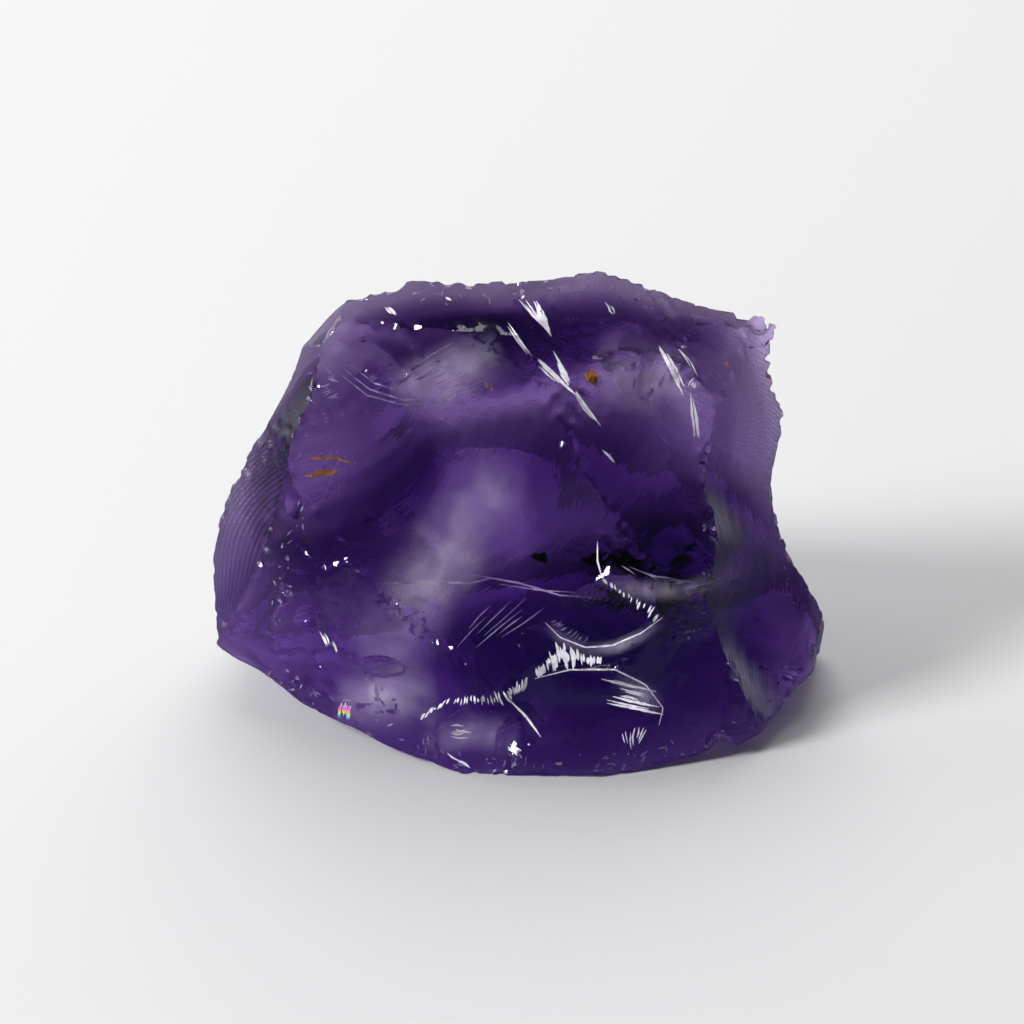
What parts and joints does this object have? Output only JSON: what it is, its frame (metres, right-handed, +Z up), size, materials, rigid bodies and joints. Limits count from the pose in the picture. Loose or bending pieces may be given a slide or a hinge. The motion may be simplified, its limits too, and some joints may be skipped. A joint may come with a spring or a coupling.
{
  "type": "rough amethyst",
  "caption": "Broken chunk of purple quartz with rippled, shell-shaped fracture faces and chipped edges, resting on a flat fracture under it.",
  "frame": {"origin": "on the surface that the stone rests on, under the middle of its box", "axes": "+Z up, +X to the right across the broad seen face, which looks towards -Y"},
  "size_m": [0.0327, 0.022, 0.0258],
  "materials": {
    "amethyst": "see-through purple quartz, glassy on its fractures, zoned from pale lilac to deep violet"
  },
  "bodies": {
    "root": {"amethyst": "amethyst"}
  },
  "joints": []
}
